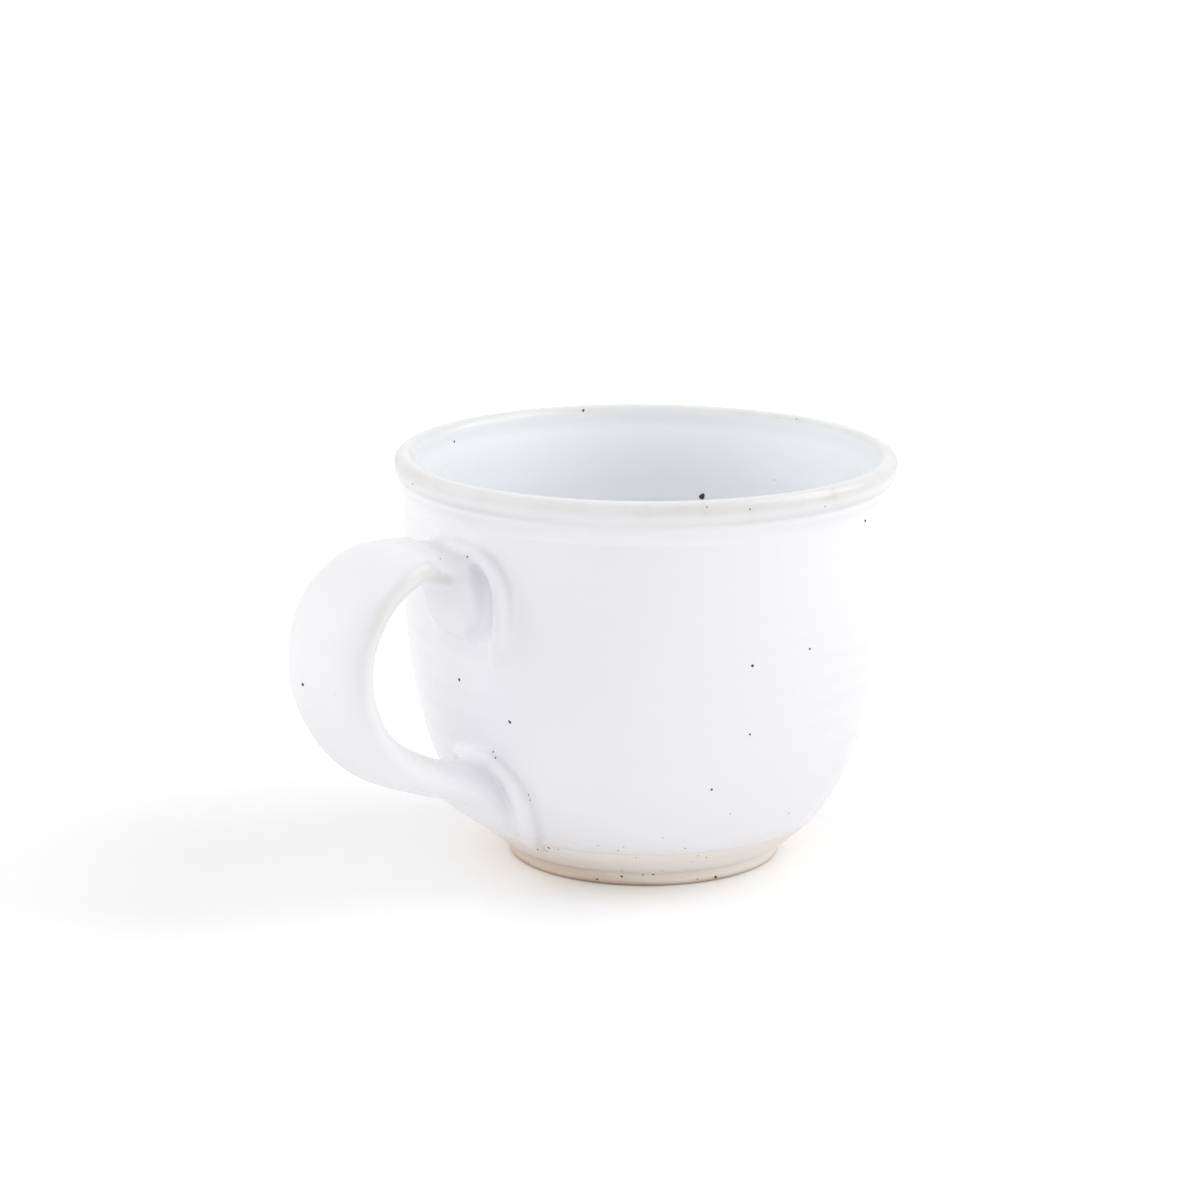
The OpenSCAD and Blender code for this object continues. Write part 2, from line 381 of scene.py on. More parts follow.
glazed_strap = strap_points(glaze_t)
strap_skin, strap_faces = tube_mesh(glazed_strap)
strap_tree = BVHTree.FromPolygons([tuple(p) for p in strap_skin], strap_faces[:-2*sides])
strap_outline = np.vstack([glazed_strap[:, sides//4], glazed_strap[::-1, 3*sides//4]])[:, [0, 2]]*[-1, 1]
strap_reach = 5.0
strap_table_low = [belly_r - 22, 0]
strap_table_high = [-strap_low[0] + 8, cup_h]
strap_table = Table(lambda p: outline_distance(p, strap_outline), strap_table_low, strap_table_high,
                    2*table_step)


def strap_distance(points, beside):
    """Signed distance to the glazed strap, exact near it; beside is the flat distance to its outline."""
    d = beside.copy()
    for i in np.flatnonzero(beside < strap_reach):
        place, normal, _, off = strap_tree.find_nearest(points[i])
        d[i] = math.copysign(off, (Vector(points[i]) - place).dot(normal))
    return d


# Where the strap is pressed on the wall. Each row is across and up, as shares of the root's half width
# and height, then radius and lift off the wall in millimetres. The first of each pair is the side that the
# camera sees; the thumb pressed the other side less.
ridge_shares = {
    "upper": ([[0, 0.935, 1.25, 1.4], [0.2, 0.93, 1.3, 1.5], [0.38, 0.9, 1.4, 1.45],
               [0.57, 0.845, 1.5, 1.4], [0.71, 0.745, 1.6, 1.3], [0.8, 0.62, 1.75, 1.15],
               [0.83, 0.49, 1.85, 0.9], [0.815, 0.34, 1.9, 0.6], [0.77, 0.19, 2, 0],
               [0.69, 0.02, 2.2, -0.9], [0.6, -0.15, 2.2, -2]],
              [[0, 0.935, 1.25, 1.4], [0.24, 0.92, 1.2, 1.1], [0.5, 0.87, 1.1, 0.4],
               [0.7, 0.78, 1, -0.8]]),
    "lower": ([[0, 1.074, 1.1, 0.8], [0.19, 1.08, 1.15, 1], [0.48, 1.057, 1.25, 1.2],
               [0.77, 0.92, 1.45, 1.3], [0.89, 0.83, 1.65, 1.4], [0.955, 0.69, 1.9, 1.4],
               [0.96, 0.56, 2.1, 1.4], [0.91, 0.41, 2.3, 1.3], [0.79, 0.235, 2.3, 1],
               [0.65, 0.09, 2, 0.4], [0.54, -0.04, 1.6, -0.6]],
              [[0, 1.074, 1.1, 0.8], [0.19, 1.068, 1.05, 0.7], [0.47, 1.057, 1, 0.5], [0.78, 1, 1, 0.1],
               [0.94, 0.88, 1, -0.7]])}
dish_shares = {
    "upper": ([[1.02, 0.86, 7.6, 5.6], [1.05, 0.62, 8, 5.5], [1.09, 0.35, 8, 5.6], [1.05, 0.08, 7.4, 6],
               [0.98, -0.15, 6.6, 6.6]],
              [[1.35, 0.7, 6, 8], [1.35, 0.3, 6, 8]]),
    "upper_edge": ([[1.44, 0.85, 9, 11.5], [1.44, 0.55, 9.4, 11.5], [1.44, 0.25, 9.4, 11]], []),
    "upper_top": ([[-1, 1.3, 2, 5], [-0.5, 1.21, 3.2, 3.8], [0, 1.22, 5.2, 4.2],
                   [0.38, 1.28, 6.8, 5.6], [0.7, 1.31, 8.6, 7.6], [1, 1.22, 9.5, 8.5]], [])}
groove_shares = {
    "upper": ([[0.5, 0.8, 1.2, 2], [0.575, 0.72, 1.6, 1.55], [0.61, 0.62, 1.9, 1.45],
               [0.625, 0.5, 2.1, 1.5], [0.61, 0.36, 2.2, 1.55], [0.565, 0.22, 2.1, 1.5],
               [0.45, 0.1, 1.8, 1.35], [0.3, 0.03, 1.4, 1.5]], [])}
strap_fillet = 4.5
dish_round = 3.6
groove_round = 1.8
ridge_round = 1.0


def chain_on_wall(name, shares, side):
    """A chain of spheres on one side of a root; side is -1 for the side that the camera sees."""
    low, high = root_boxes[name.split("_")[0]]
    across, up, radius, lift = curve(shares, steps=4).T
    y, z = side*across*high[1], between(low[2], high[2], up)
    x = -np.sqrt((wall_r(z) + lift)**2 - y**2)
    return np.stack([x, y, z, radius], 1)


def chains(shares):
    return [chain_on_wall(name, rows, side) for name, pair in shares.items()
            for rows, side in zip(pair, (-1, 1)) if rows]


ridges, dishes, grooves = chains(ridge_shares), chains(dish_shares), chains(groove_shares)


def with_handle(points, cup, beside):
    """The cup's distance with the strap joined on, and its roots dished, grooved and ridged."""
    strap = strap_distance(points, beside)
    for chain in dishes:
        strap = soft_max(strap, -chain_distance(points, chain), dish_round)
    body = soft_min(cup, strap, strap_fillet)
    for chain in grooves:
        body = soft_max(body, -chain_distance(points, chain), groove_round)
    for chain in ridges:
        body = soft_min(body, chain_distance(points, chain), ridge_round)
    return body


# How far round the strap the field takes it in
handle_turn = 0.42
handle_side = 17.0
handle_margin = 3.0


def mug_distance(points):
    r, turn, z = on_cylinder(points)
    d = cup_distance(r, turn, z)
    near = np.flatnonzero((abs(turn) < handle_turn) & (abs(points[:, 1]) < handle_side)
                          & (z < lip_low_z + handle_margin) & (r > wall_r(z) - handle_margin))
    beside = strap_table.read(-points[near, 0], z[near])
    near, beside = near[beside < strap_reach], beside[beside < strap_reach]
    d[near] = with_handle(points[near], d[near], beside)
    return d


# Meshing the field

def graded(stops):
    """Numbers from the first stop to the last; each stop gives a start and the step that follows it."""
    parts = []
    for (start, step), (end, _) in zip(stops, stops[1:]):
        parts.append(np.linspace(start, end, max(1, round((end - start)/step)), endpoint=False))
    return np.concatenate(parts + [[stops[-1][0]]])


# The grid round the mug: finest at the handle, at the glaze line, in the lip and along the inner wall
hub_r = 6.0
turn_stops = ((-math.pi, 0.022), (-0.55, 0.016), (-0.36, 0.0115), (0.36, 0.016), (0.55, 0.022), (math.pi, 0))
radius_stops = ((hub_r, 1.3), (28, 0.9), (33, 0.36), (36.5, 0.75), (44, 0.45), (51.5, 0.55), (57, 0.8),
                (88, 0))
height_stops = ((6.4, 0.3), (10.4, 0.5), (29, 0.8), (47, 0.55), (72, 0.42), (cup_h + 1.2, 0))
turns, radii, heights = graded(turn_stops)[:-1], graded(radius_stops), graded(height_stops)


def field_on_grid():
    """The mug's distance at every node of the grid, as turns by radii by heights."""
    r, z = [a.ravel() for a in np.meshgrid(radii, heights, indexing="ij")]
    slices = [mug_distance(at_turn(r, t, z)) for t in turns]
    return np.array(slices).reshape(len(turns), len(radii), len(heights))


def net_along(field, axis):
    """Cells round each grid edge of one direction that the surface crosses, its place in them, and a quad."""
    size = np.array(field.shape)
    step = np.eye(3, dtype=int)[axis]
    crossed = (field < 0) != (np.roll(field, -1, axis) < 0)
    if axis:
        crossed[(slice(None),)*axis + (-1,)] = False
    at = np.argwhere(crossed)
    start_value, end_value = field[tuple(at.T)], field[tuple(((at + step) % size).T)]
    spot = at + (start_value/(start_value - end_value))[:, None]*step
    cells = np.repeat(at[None], 4, axis=0)
    cells[1:3, :, (axis + 1) % 3] -= 1
    cells[2:4, :, (axis + 2) % 3] -= 1
    real = ((cells[..., 1:] >= 0) & (cells[..., 1:] < size[1:] - 1)).all(2)
    offsets = (spot - cells)[real]
    cells[..., 0] %= size[0]
    numbers = np.ravel_multi_index(np.where(real[..., None], cells, 0).transpose(2, 0, 1), size)
    quads = np.where((start_value < 0)[:, None], numbers[::-1].T, numbers.T)
    return numbers[real], offsets, quads[real.all(0)]


def surface_net(field):
    """Points, one in each cell that the surface crosses, and quads, one round each crossed edge."""
    nets = [net_along(field, axis) for axis in range(3)]
    cells, offsets, quads = [np.concatenate(parts) for parts in zip(*nets)]
    ids, which = np.unique(cells, return_inverse=True)
    mean = np.stack([np.bincount(which, o)/np.bincount(which) for o in offsets.T], 1)
    spots = np.stack(np.unravel_index(ids, field.shape), 1) + mean
    closed_turns = np.append(turns, turns[0] + math.tau)
    turn, r, z = [np.interp(s, np.arange(len(a)), a) for s, a in zip(spots.T, (closed_turns, radii, heights))]
    return at_turn(r, turn, z), np.searchsorted(ids, quads)


probe = 0.04
probe_corners = np.array([[1, -1, -1], [-1, -1, 1], [-1, 1, -1], [1, 1, 1]])
least_steepness = 0.2
longest_move = 0.6


def to_surface(points, rounds):
    """Moves points down the field's slope to the surface."""
    for _ in range(rounds):
        values = np.array([mug_distance(points + probe*c) for c in probe_corners])
        slope = (values[:, :, None]*probe_corners[:, None, :]).sum(0)/(4*probe)
        move = slope*(values.mean(0)/np.maximum((slope**2).sum(1), least_steepness))[:, None]
        length = np.linalg.norm(move, axis=1)[:, None]
        points = points - move*np.minimum(1, longest_move/np.maximum(length, 1e-9))
    return points


def edges_of(quads):
    """Pairs of points that share an edge, and how many quads use each."""
    pairs = np.concatenate([quads[:, [k, (k + 1) % 4]] for k in range(4)])
    return np.unique(np.sort(pairs, 1), axis=0, return_counts=True)


def neighbour_mean(values, pairs):
    """Mean of each point's neighbours' values, for an array of rows."""
    a, b = pairs.T
    ends, others = np.concatenate([a, b]), np.concatenate([b, a])
    count = np.bincount(ends, minlength=len(values))[:, None]
    return np.stack([np.bincount(ends, v[others], len(values)) for v in values.T], 1)/np.maximum(count, 1)


evening_rounds = 2
evening = 0.6


def glazed_surface():
    """Points and quads of the whole glazed surface, evened out and settled on the field."""
    points, quads = surface_net(field_on_grid())
    pairs, uses = edges_of(quads)
    loose = np.ones(len(points), bool)
    loose[pairs[uses == 1].ravel()] = False
    points = to_surface(points, 2)
    for _ in range(evening_rounds):
        evened = between(points, neighbour_mean(points, pairs), evening)
        points[loose] = evened[loose]
        points = to_surface(points, 1)
    return points, quads, pairs, uses


def make_mesh(name, points, faces):
    """A mesh object from points in millimetres."""
    mesh = bpy.data.meshes.new(name)
    mesh.from_pydata([tuple(p) for p in np.asarray(points)*MM], [], [tuple(map(int, f)) for f in faces])
    mesh.validate()
    mesh.polygons.foreach_set("use_smooth", [True]*len(mesh.polygons))
    piece = bpy.data.objects.new(name, mesh)
    bpy.context.scene.collection.objects.link(piece)
    return piece


def closed_at_hub(points, quads, pairs, uses):
    """The net's faces with the two round holes at the hub closed by fans."""
    faces = [tuple(q) for q in quads]
    rim = pairs[uses == 1]
    split = floor_z - hidden_depth/2
    for is_top in (True, False):
        ring = rim[(points[rim[:, 0], 2] > split) == is_top]
        hub = len(points)
        points = np.vstack([points, [0, 0, points[ring.ravel(), 2].mean()]])
        for a, b in ring:
            is_left = points[a, 0]*points[b, 1] - points[a, 1]*points[b, 0] > 0
            faces.append((a, b, hub) if is_left == is_top else (b, a, hub))
    return points, faces


bend_rounds = 3


def convexity(piece, pairs):
    """How sharply the surface turns at each point, in turns per millimetre: over edges above 0."""
    count = len(piece.data.vertices)
    places, normals = np.zeros(count*3), np.zeros(count*3)
    piece.data.vertices.foreach_get("co", places)
    piece.data.vertices.foreach_get("normal", normals)
    places, normals = places.reshape(-1, 3)/MM, normals.reshape(-1, 3)
    a, b = pairs.T
    step = places[b] - places[a]
    bend = ((normals[b] - normals[a])*step).sum(1)/np.maximum((step**2).sum(1), 1e-4)
    ends = np.concatenate([a, b])
    neighbours = np.maximum(np.bincount(ends, minlength=count), 1)
    total = np.bincount(ends, np.concatenate([bend, bend]), count)/neighbours
    for _ in range(bend_rounds):
        total = between(total, neighbour_mean(total[:, None], pairs)[:, 0], 0.5)
    return total


def give_values(piece, name, values):
    attribute = piece.data.attributes.new(name, "FLOAT", "POINT")
    attribute.data.foreach_set("value", np.asarray(values, np.float32))


# Heights of the outer glaze's fade towards its edge, how much of its colour is left there, and its waves
fade_heights = (8.0, 10.0, 12.0, 15.0)
fade_cover = (0.56, 0.76, 0.92, 1.0)
fade_wave = 0.7

# Painted light on the lamp side: the milky wash reaches lower on that side of the foot, and the glaze half as
# much: angle from the handle, drop
painted_light_turn = math.radians(110)
painted_light_drop = 5.0


def glaze_cover_and_light(points):
    """How thick the glaze lies at each point, from 0, bare, to 1, opaque, pushed lower on the lamp side as
    painted light.
    """
    r, turn, z = on_cylinder(points)
    # Painted light: the glaze's fade sits lower on the lamp side
    z = z + 0.5*painted_light_drop*np.maximum(np.cos(turn - painted_light_turn), 0)
    outside = r > np.minimum(wall_r(z), belly_r) - wall_t/2
    return np.where(outside, np.interp(z + fade_wave*ripple(turn, seed=31), fade_heights, fade_cover), 1)


# The glaze has run off the lip above these heights, outside and inside; outside, the rise at the groove under
# the bead is painted shade
lip_outer_z = (76.6, 77.3, 79.0, 79.9)
lip_outer_wear_and_shade = (0, 0.5, 0.4, 1)
lip_inner_z = (80.2, 81.6)
# Less wear on top of the crown is a painted highlight
lip_crown_z = (81.2, 81.9)
lip_crown_highlight_wear = (1, 0.4)
# Less of it has run off near the handle: how much less, the middle of that stretch, and its ends as a cosine
kept_share = 0.4
kept_turn = 0.3
kept_within = 0.8
# The wear of the lip all round, and how much its long waves and its short ones add
lip_worn = 0.85
long_wear, short_wear = 0.2, 0.1


def lip_wear_and_shade(points):
    """How much of the glaze has run off the lip, with painted shade in the groove under the bead and a
    painted highlight on the crown, from 0 to 1.
    """
    r, turn, z = on_cylinder(points)
    waves = (long_wear*ripple(turn, seed=41, lowest=3, highest=16)
             + short_wear*ripple(turn, seed=43, lowest=15, highest=40))
    crown = np.where(r > rim_r - bead_r, np.interp(z, lip_outer_z, lip_outer_wear_and_shade),
                     np.interp(z, lip_inner_z, (0, 1)))
    crown = crown*np.interp(z, lip_crown_z, lip_crown_highlight_wear)
    kept = kept_share*np.clip((np.cos(turn - kept_turn) - kept_within)/(1 - kept_within), 0, 1)
    return crown*np.clip(lip_worn + waves - kept, 0, 1)


# The glaze breaks over the strap's edges where they turn faster than this, in turns per millimetre; its
# darker colour there, most at the top of the handle, is partly painted shade
edge_bends = (0.11, 0.25)
edge_heights = (46, 66)
edge_shares = (0.1, 0.8)
edge_clear = (5, 9)


def edge_wear_and_shade(points, bend):
    """How much of the glaze has run off the strap's edges, with painted shade, most at the top of the handle.
    """
    r, turn, z = on_cylinder(points)
    on_strap = fade_in(r - wall_r(z), edge_clear)*(abs(turn) < handle_turn)*(z < lip_low_z)
    return on_strap*np.interp(bend, edge_bends, (0, 1))*np.interp(z, edge_heights, edge_shares)


# Where the inside's painted light takes over from the outer glaze colour, blended over the lip
well_blend = 1.6


def well_share(points):
    """1 inside the cup and 0 outside, with a blend over the lip."""
    r, turn, z = on_cylinder(points)
    middle = np.where(z > lip_low_z, rim_r - bead_r, wall_r(z) - wall_t/2)
    return np.clip(0.5 - (r - middle)/well_blend, 0, 1)


def make_glaze_coat():
    points, quads, pairs, uses = glazed_surface()
    points, faces = closed_at_hub(points, quads, pairs, uses)
    piece = make_mesh("glaze_coat", points, faces)
    give_values(piece, "cover", glaze_cover_and_light(points))
    give_values(piece, "lip", np.maximum(lip_wear_and_shade(points), edge_wear_and_shade(points, convexity(piece, pairs))))
    give_values(piece, "well", well_share(points))
    return piece


# The clay

core_depth = 1.0
step_depth = 0.03
seam_w = 0.03
flare_reach = 1.15
flare = 0.33
edge_r = foot_r + flare
clay_turns = circle(288, -math.pi)

# Lines that the trimming tool left: coarse ones, finer ones as shares of them, and how they drift and fade
trim_pitch = 0.8
trim_depth = 0.03
trim_lean = 0.6
trim_drift = 0.12
fine_pitch_share = 0.37
fine_depth_share = 0.7
trim_sink = 1.2
trim_fade = 0.3
smooth_hub_r = 3


def trimmed(place):
    """How far the trimmed lines move a place of the clay's outline, all round."""
    z = place[1] + place[0]*trim_lean
    drift = trim_drift*np.sin(clay_turns + 0.4)
    coarse = np.sin(math.tau*(z + drift)/trim_pitch)
    fine = np.sin(math.tau*(z - drift)/(trim_pitch*fine_pitch_share) + 1)
    lines = coarse + fine_depth_share*fine
    return trim_depth*(lines - trim_sink)*(1 - trim_fade + trim_fade*ripple(clay_turns, seed=23, highest=7))


def turned_clay(outline):
    """Points and faces of a turned solid, trimmed where it is bare. Its outline runs from axis to axis."""
    body = outline[1:-1]
    rings = []
    for place, out in zip(body, -left_of(body)):
        is_bare = place[1] < fade_heights[-1] and place[0] > smooth_hub_r
        relief = trimmed(place) if is_bare else 0*clay_turns
        r, z = (place + relief[:, None]*out).T
        rings.append(at_turn(r, clay_turns, z))
    points = np.vstack(rings + [[[0, 0, outline[0, 1]], [0, 0, outline[-1, 1]]]])
    return points, capped_rings(len(body), len(clay_turns))


recess_rings = (8, 16)
hub_ring_r = 0.5
floor_dip = 0.05


def make_thrown_clay():
    """The thrown cup under its glaze. Bare clay shows between the glaze line and the foot ring."""
    skin = np.vstack([wall, lip_side[1:], bead, inside[:-1]])
    depth = np.full(len(skin), core_depth)
    low_wall = (np.arange(len(skin)) < len(wall)) & (skin[:, 1] < fade_heights[-1])
    depth[low_wall] = step_depth
    clay = skin + left_of(skin)*depth[:, None]
    clay[:, 0] = np.maximum(clay[:, 0], 0)
    clay = clay[(clay[:, 1] > foot_h + flare_reach/2) | (clay[:, 0] < foot_r - foot_w)]
    centre_z = floor_z - glaze_t - floor_dip
    clay[-1] = [hub_ring_r, centre_z]
    bottom = [[r, foot_h] for r in (0, *recess_rings, foot_r - foot_w, edge_r - 2*seam_w, edge_r - seam_w)]
    outline = np.vstack([bottom, [[edge_r, foot_h + seam_w]], clay, [[0, centre_z]]])
    return make_mesh("thrown_clay", *turned_clay(outline))


quarter_step = 15
side_step = 0.2
face_rings = 4
# The foot is trimmed above this height and outside this distance from its outer radius
trim_from_z = 0.3
trim_within = 2


def foot_outline():
    """Closed outline of the foot ring: top, flared outer side, rounded bottom edges and inner side."""
    quarter = np.radians(np.arange(0, 91, quarter_step))[:, None]
    cosine, sine = foot_round*np.cos(quarter), foot_round*np.sin(quarter)
    outer = [foot_r - foot_round, foot_round] + np.hstack([cosine, -sine])
    inner = [foot_r - foot_w + foot_round, foot_round] - np.hstack([sine, cosine])
    side_z = np.append(foot_h - seam_w, np.arange(foot_h - side_step, foot_round + side_step/2, -side_step))
    side_r = foot_r + flare*np.maximum(1 - (foot_h - side_z)/flare_reach, 0)**2
    face_r = np.linspace(outer[-1][0], inner[0][0], face_rings + 2)[1:-1]
    top = [[r, foot_h] for r in (foot_r - foot_w, edge_r - 3*seam_w, edge_r - seam_w)]
    return np.vstack([top, np.stack([side_r, side_z], 1), outer, np.stack([face_r, 0*face_r], 1), inner])


def make_trimmed_foot():
    """The ring that the mug stands on, with a hollow inside."""
    rings = []
    for r, z in foot_outline():
        on_side = z > trim_from_z and r > foot_r - trim_within
        rings.append(at_turn(r + trimmed((r, z)) if on_side else r, clay_turns, z))
    faces = ring_quads(len(rings), len(clay_turns), turned=True, looped=True)
    return make_mesh("trimmed_foot", np.vstack(rings), faces)


# The clay strap under the glaze is a core of this share of its section, clear of the hollows at its roots
strap_core_share = 0.3

pad_rings = 8
pad_sides = 64
pad_t = 0.4
pad_height_share = 0.42
pad_hole_share = 0.1


def make_slip_joint(name):
    """The thin pad of slip between the strap's end and the wall, curved like the wall."""
    low, high = root_boxes[name]
    half_y, half_z = high[1]*root_shares[name], (high[2] - low[2])*pad_height_share
    middle_z = (high[2] + low[2])/2
    angle = circle(pad_sides)
    rings = []
    shares = np.linspace(pad_hole_share, 1, pad_rings)
    for share in [*shares, *shares[::-1]]:
        depth = sunk - (pad_t if len(rings) >= pad_rings else 0)
        y, z = share*half_y*np.cos(angle), middle_z + share*half_z*np.sin(angle)
        rings.append(np.stack([-np.sqrt((wall_r(z) - depth)**2 - y**2), y, z], 1))
    return make_mesh(name + "_slip", *tube_mesh(np.array(rings)))


# The camera

photo_side = 1200
cup_centre_px = (645.04, 649.48)
focal_px = 3987.6
view_distance = 800.0
view_turn = math.radians(-44)
view_height = math.radians(14.45)
view_roll = 0.0074
sensor_mm = 36.0


def direction(turn, lift):
    """From the mug to a place round it: its turn from -Y towards +X, and its lift off the table."""
    return np.array([math.sin(turn)*math.cos(lift), -math.cos(turn)*math.cos(lift), math.sin(lift)])


def turn_axes(a, b, angle):
    """Two axes turned in their plane, the first towards the second."""
    return a*math.cos(angle) + b*math.sin(angle), b*math.cos(angle) - a*math.sin(angle)


def photo_camera():
    """Place, forward, right and up of the camera that the photograph was taken with."""
    centre = np.array([0, 0, cup_h/2])
    back = direction(view_turn, view_height)
    forward = -back
    right = np.array([math.cos(view_turn), math.sin(view_turn), 0])
    up = np.cross(right, forward)
    yaw, pitch = [math.atan((c - photo_side/2)/focal_px) for c in cup_centre_px]
    right, forward = turn_axes(right, forward, yaw)
    forward, up = turn_axes(forward, up, pitch)
    right, up = turn_axes(right, up, view_roll)
    return centre + view_distance*back, forward, right, up


def make_camera():
    place, forward, right, up = photo_camera()
    camera = bpy.data.objects.new("photo_camera", bpy.data.cameras.new("photo_camera"))
    bpy.context.scene.collection.objects.link(camera)
    camera.data.sensor_width = sensor_mm
    camera.data.lens = focal_px/photo_side*sensor_mm
    camera.data.clip_start, camera.data.clip_end = 0.01, 20
    axes = Matrix(np.stack([right, up, -forward], 1)).to_4x4()
    camera.matrix_world = Matrix.Translation(Vector(place*MM)) @ axes
    bpy.context.scene.camera = camera


# Iron specks that came through the glaze, at their pixels in the photograph: x, y and width in millimetres
speck_pixels = [
    (702, 496.5, 1.35), (459.3, 679.6, 0.62), (509.8, 722, 0.66), (752.5, 665.8, 0.62), (302.8, 684.5, 0.7),
    (809.9, 648.9, 0.5), (865.1, 520.8, 0.6), (750, 734.4, 0.45), (583.4, 410.4, 0.6), (454.2, 441.6, 0.5),
    (796.5, 419, 0.3), (707, 507.2, 0.3), (750, 509.2, 0.35), (412.5, 484.1, 0.3), (440.3, 558.7, 0.3),
    (467.4, 556.8, 0.35), (493.3, 751.9, 0.4), (495.5, 757.8, 0.4), (528.5, 794.9, 0.35), (529.8, 800.2, 0.3),
    (548.8, 847.7, 0.5), (537.5, 849.4, 0.35), (547.5, 850.8, 0.3), (558.5, 849.5, 0.3), (618, 850.5, 0.3),
    (598, 845.5, 0.25), (623.7, 847, 0.25), (636.4, 857.6, 0.25), (621.7, 876.4, 0.5), (653.1, 874.3, 0.5),
    (643.1, 874.5, 0.35), (715.7, 877, 0.6), (597.2, 879, 0.45), (662.6, 838, 0.25), (685, 848.3, 0.3),
    (706.5, 857.5, 0.3), (698, 855.8, 0.25), (697.3, 879, 0.3), (730.4, 814, 0.25), (788.9, 813.3, 0.25),
    (711.7, 789.6, 0.5), (774, 480, 0.25), (825, 506.5, 0.25)]
speck_lift = 0.28
# Rings of a speck's dome: share of its radius and of its height
speck_rings = ((1.05, -0.5), (0.95, 0.15), (0.7, 0.7), (0.35, 0.95))
speck_sides = 10
speck_stretch = (0.8, 1.25)
speck_jag, speck_roughness = 0.12, 0.06

# Random specks where the photograph doesn't show the mug: first on the glaze, then on the foot
speck_seed = 4
speck_tries = 164
glaze_speck_count = 34
glaze_speck_z, foot_speck_z = (line_z + 4, cup_h - 1), (0.6, line_z + 3)
glaze_speck_w, foot_speck_w = (0.25, 0.6), (0.14, 0.34)
lowest_inside = 8
ray_start_r = 200
away_share, facing_share = -0.15, 0.3


def speck_dome(place, normal, width, random):
    """Points and faces of one speck: a flat dome with a skirt below the surface."""
    side = normal.orthogonal().normalized()
    other = normal.cross(side)
    stretch, twist = random.uniform(*speck_stretch), random.uniform(0, math.tau)
    points, last = [], (len(speck_rings) - 1)*speck_sides
    for share, rise in speck_rings:
        for k in range(speck_sides):
            a = math.tau*k/speck_sides
            jag = 1 + speck_jag*math.sin(3*a + twist) + random.uniform(-speck_roughness, speck_roughness)
            u = width/2*share*jag*math.cos(a + twist)*stretch
            v = width/2*share*jag*math.sin(a + twist)/stretch
            points.append(place + side*u + other*v + normal*rise*speck_lift*width)
    points.append(place + normal*speck_lift*width)
    faces = ring_quads(len(speck_rings), speck_sides)
    faces += ring_fan(last, speck_sides, hub=last + speck_sides, turned=True)
    return points, faces + [tuple(range(speck_sides - 1, -1, -1))]


def hit(trees, start, way):
    """Nearest place and normal, in millimetres, where a ray meets any of the pieces."""
    hits = [tree.ray_cast(Vector(start*MM), Vector(way)) for tree in trees]
    hits = [h for h in hits if h[0] is not None]
    return min(hits, key=lambda h: h[3])[:2] if hits else None


def unseen_rays(random, forward):
    """Rays to random places that the photograph doesn't show, with the widths of their specks."""
    rays = []
    for _ in range(speck_tries):
        on_foot = len(rays) >= glaze_speck_count
        turn = random.uniform(0, math.tau)
        z = random.uniform(*(foot_speck_z if on_foot else glaze_speck_z))
        width = random.uniform(*(foot_speck_w if on_foot else glaze_speck_w))
        way = np.array([-math.cos(turn), -math.sin(turn), 0])
        towards_camera = way @ -forward
        if towards_camera < away_share:
            rays.append((way*ray_start_r + [0, 0, z], -way, width))
        elif towards_camera > facing_share and not on_foot:
            rays.append((np.array([0, 0, max(z, floor_z + lowest_inside)]), way, width))
    return rays


def make_iron_specks(skins):
    trees = [BVHTree.FromPolygons([v.co for v in skin.data.vertices],
                                  [tuple(p.vertices) for p in skin.data.polygons]) for skin in skins]
    random = np.random.default_rng(speck_seed)
    place, forward, right, up = photo_camera()
    rays = [(place, forward + right*(x - photo_side/2)/focal_px + up*(photo_side/2 - y)/focal_px, width)
            for x, y, width in speck_pixels]
    points, faces = [], []
    for start, way, width in rays + unseen_rays(random, forward):
        found = hit(trees, start, way)
        if found:
            dome_points, dome_faces = speck_dome(found[0]/MM, found[1], width, random)
            faces += [tuple(i + len(points) for i in f) for f in dome_faces]
            points += dome_points
    return make_mesh("iron_specks", np.array([tuple(p) for p in points]), faces)


# Materials

class Nodes:
    """A node tree that is written as nested calls."""

    def __init__(self, owner):
        owner.use_nodes = True
        self.tree = owner.node_tree
        self.tree.nodes.clear()

    def add(self, kind, settings=None, **inputs):
        node = self.tree.nodes.new(kind)
        for key, value in (settings or {}).items():
            setattr(node, key, value)
        for key, value in inputs.items():
            socket = int(key[1:]) if key[0] == "i" and key[1:].isdigit() else key.replace("_", " ")
            self.put(node.inputs[socket], value)
        return node

    def put(self, socket, value):
        """Links a node or an output to a socket, or gives the socket a number or a colour."""
        if isinstance(value, bpy.types.Node):
            value = value.outputs[0]
        if isinstance(value, bpy.types.NodeSocket):
            self.tree.links.new(value, socket)
        else:
            socket.default_value = (*value, 1) if socket.type == "RGBA" else value

    def ramp(self, value, low, high, to_low=0.0, to_high=1.0, smooth=True):
        kind = "SMOOTHSTEP" if smooth else "LINEAR"
        return self.add("ShaderNodeMapRange", {"interpolation_type": kind}, Value=value, From_Min=low,
                        From_Max=high, To_Min=to_low, To_Max=to_high)

    def math(self, operation, a, b=0.0):
        return self.add("ShaderNodeMath", {"operation": operation}, i0=a, i1=b)

    def plus(self, a, b):
        return self.math("ADD", a, b)

    def times(self, a, b):
        return self.math("MULTIPLY", a, b)

    def mix(self, share, a, b):
        return self.add("ShaderNodeMix", {"data_type": "RGBA"}, i0=share, i6=a, i7=b).outputs[2]


